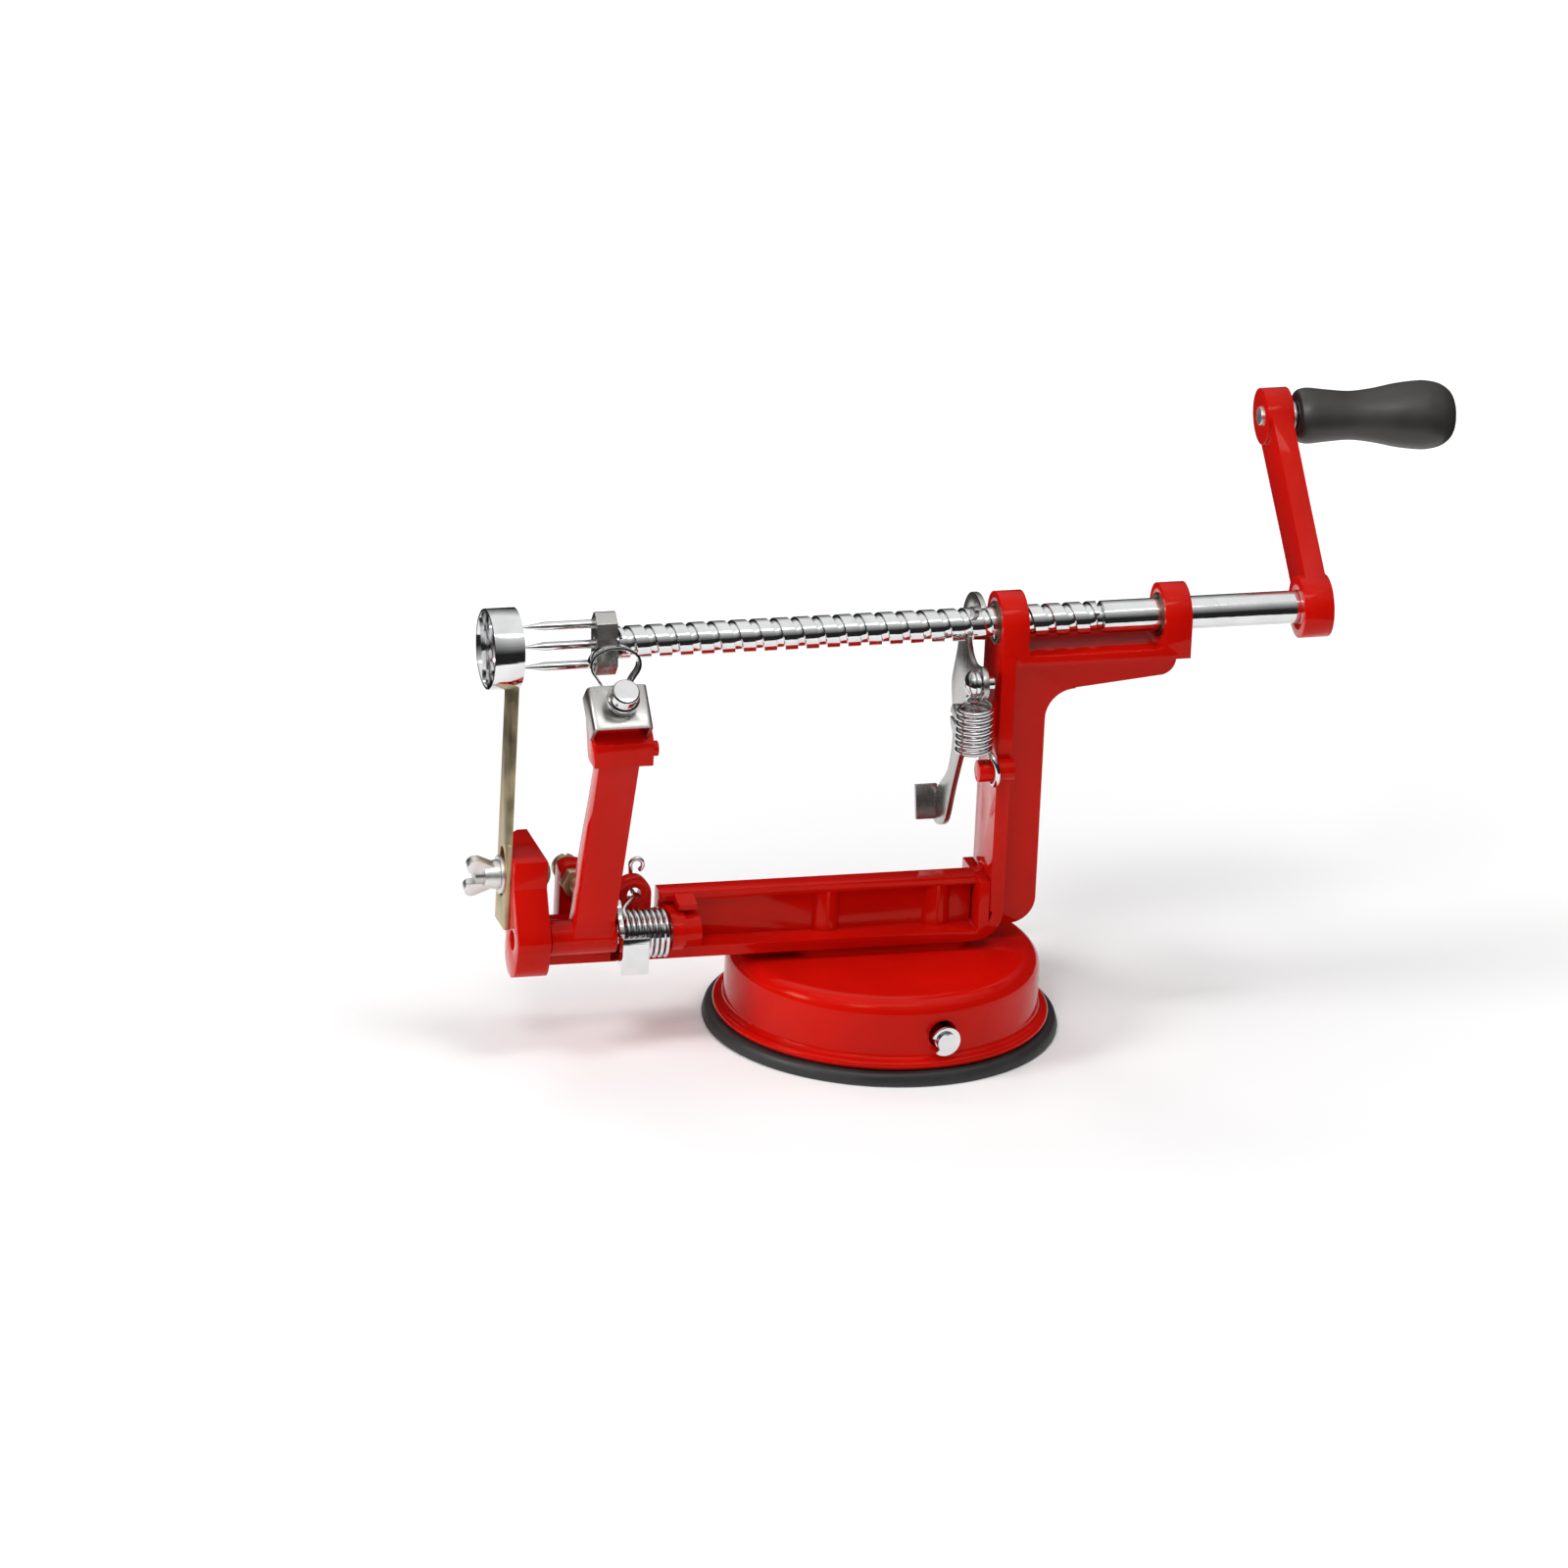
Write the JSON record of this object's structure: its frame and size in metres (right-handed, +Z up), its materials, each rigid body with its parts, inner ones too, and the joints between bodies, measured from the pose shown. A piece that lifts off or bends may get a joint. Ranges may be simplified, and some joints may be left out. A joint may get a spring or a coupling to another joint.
{
  "type": "apple peeler",
  "caption": "Hand-cranked apple peeler, corer and slicer: red cast frame on a round suction base, grooved feed shaft, crank with turning grip, sprung peeling arm and release lever.",
  "frame": {"origin": "middle of the suction disc's underside, on the table", "axes": "+X along the shaft towards the crank, +Y to the back, +Z up"},
  "size_m": [0.3107, 0.1135, 0.1738],
  "materials": {
    "enamel": "glossy red enamel on a casting",
    "rubber": "black rubber",
    "grip": "satin black plastic",
    "chrome": "bright plating",
    "steel": "satin stamped sheet",
    "dull_steel": "dull, slightly yellow plating"
  },
  "bodies": {
    "frame": {"frame_casting": "enamel", "base_cap": "enamel", "suction_cup": "rubber", "frame_screws": "steel", "slicing_blade": "dull_steel", "coring_ring": "chrome", "blade_bolt": "steel", "blade_washer": "dull_steel", "pivot_rod": "chrome", "stop_screw": "dull_steel", "stop_nut": "dull_steel", "lever_pivot_screw": "steel", "release_spring": "chrome", "arm_spring": "chrome"},
    "bushes": {"front_bush": "dull_steel", "rear_bush": "dull_steel"},
    "drive": {"lead_screw": "chrome", "fork_hub": "steel", "fork_prongs": "chrome", "crank_arm": "enamel", "grip_pin": "chrome"},
    "grip": {"handle_grip": "grip"},
    "peel_arm": {"peel_arm": "enamel", "blade_holder": "steel", "peel_blade": "chrome"},
    "thumb_screw": {"peel_thumb_screw": "chrome"},
    "latch": {"arm_latch": "steel"},
    "release_lever": {"release_lever": "steel", "spring_screw": "chrome"},
    "wing_nut": {"wing_nut": "steel"},
    "cam": {"cam_shaft": "chrome", "retaining_clip": "chrome", "suction_lever": "enamel"},
    "post": {"pull_post": "dull_steel"}
  },
  "joints": [
    {"name": "crank_turn", "type": "hinge", "parent": "frame", "child": "bushes", "pos_m": [0.0333, 0, 0.1244], "axis": [1, 0, 0], "range_deg": [-1800, 5400]},
    {"name": "screw_feed", "type": "slide", "parent": "bushes", "child": "drive", "axis": [1, 0, 0], "range_m": [-0.03176, 0.09526]},
    {"name": "grip_spin", "type": "hinge", "parent": "drive", "child": "grip", "pos_m": [0.1267, 0.05051, 0.16531], "axis": [0.999, 0, -0.0436], "continuous": true},
    {"name": "peel_arm_swing", "type": "hinge", "parent": "frame", "child": "peel_arm", "pos_m": [-0.0955, -0.0105, 0.0364], "axis": [1, 0, 0], "range_deg": [0, 35], "stiffness_Nm_per_rad": 0.06, "springref_deg": -34.38, "deforming": ["arm_spring"]},
    {"name": "thumb_screw_turn", "type": "hinge", "parent": "peel_arm", "child": "thumb_screw", "pos_m": [-0.0895, -0.02198, 0.11368], "axis": [0, -0.6691, 0.7431], "continuous": true},
    {"name": "latch_swing", "type": "hinge", "parent": "frame", "child": "latch", "pos_m": [-0.0843, -0.0105, 0.0364], "axis": [1, 0, 0], "range_deg": [0, 15], "stiffness_Nm_per_rad": 0.02, "springref_deg": -34.38},
    {"name": "release_lever_swing", "type": "hinge", "parent": "frame", "child": "release_lever", "pos_m": [0.0231, 0.006, 0.092], "axis": [1, 0, 0], "range_deg": [-10, 0], "stiffness_Nm_per_rad": 0.2, "springref_deg": 22.92, "deforming": ["release_spring"]},
    {"name": "wing_nut_turn", "type": "hinge", "parent": "frame", "child": "wing_nut", "pos_m": [-0.121, -0.001, 0.0536], "axis": [1, 0, 0], "continuous": true},
    {"name": "suction_lever_turn", "type": "hinge", "parent": "frame", "child": "cam", "pos_m": [0, 0, 0.0124], "axis": [0.1392, -0.9903, 0], "range_deg": [0, 180]},
    {"name": "cup_lift", "type": "slide", "parent": "frame", "child": "post", "axis": [0, 0, 1], "range_m": [0, 0.0025], "deforming": ["suction_cup"]}
  ],
  "couplings": [
    {"joint": "screw_feed", "follows": "crank_turn", "m_per_rad": 0.0010106},
    {"joint": "suction_lever_turn", "follows": "cup_lift", "rad_per_m": 1256.6}
  ]
}
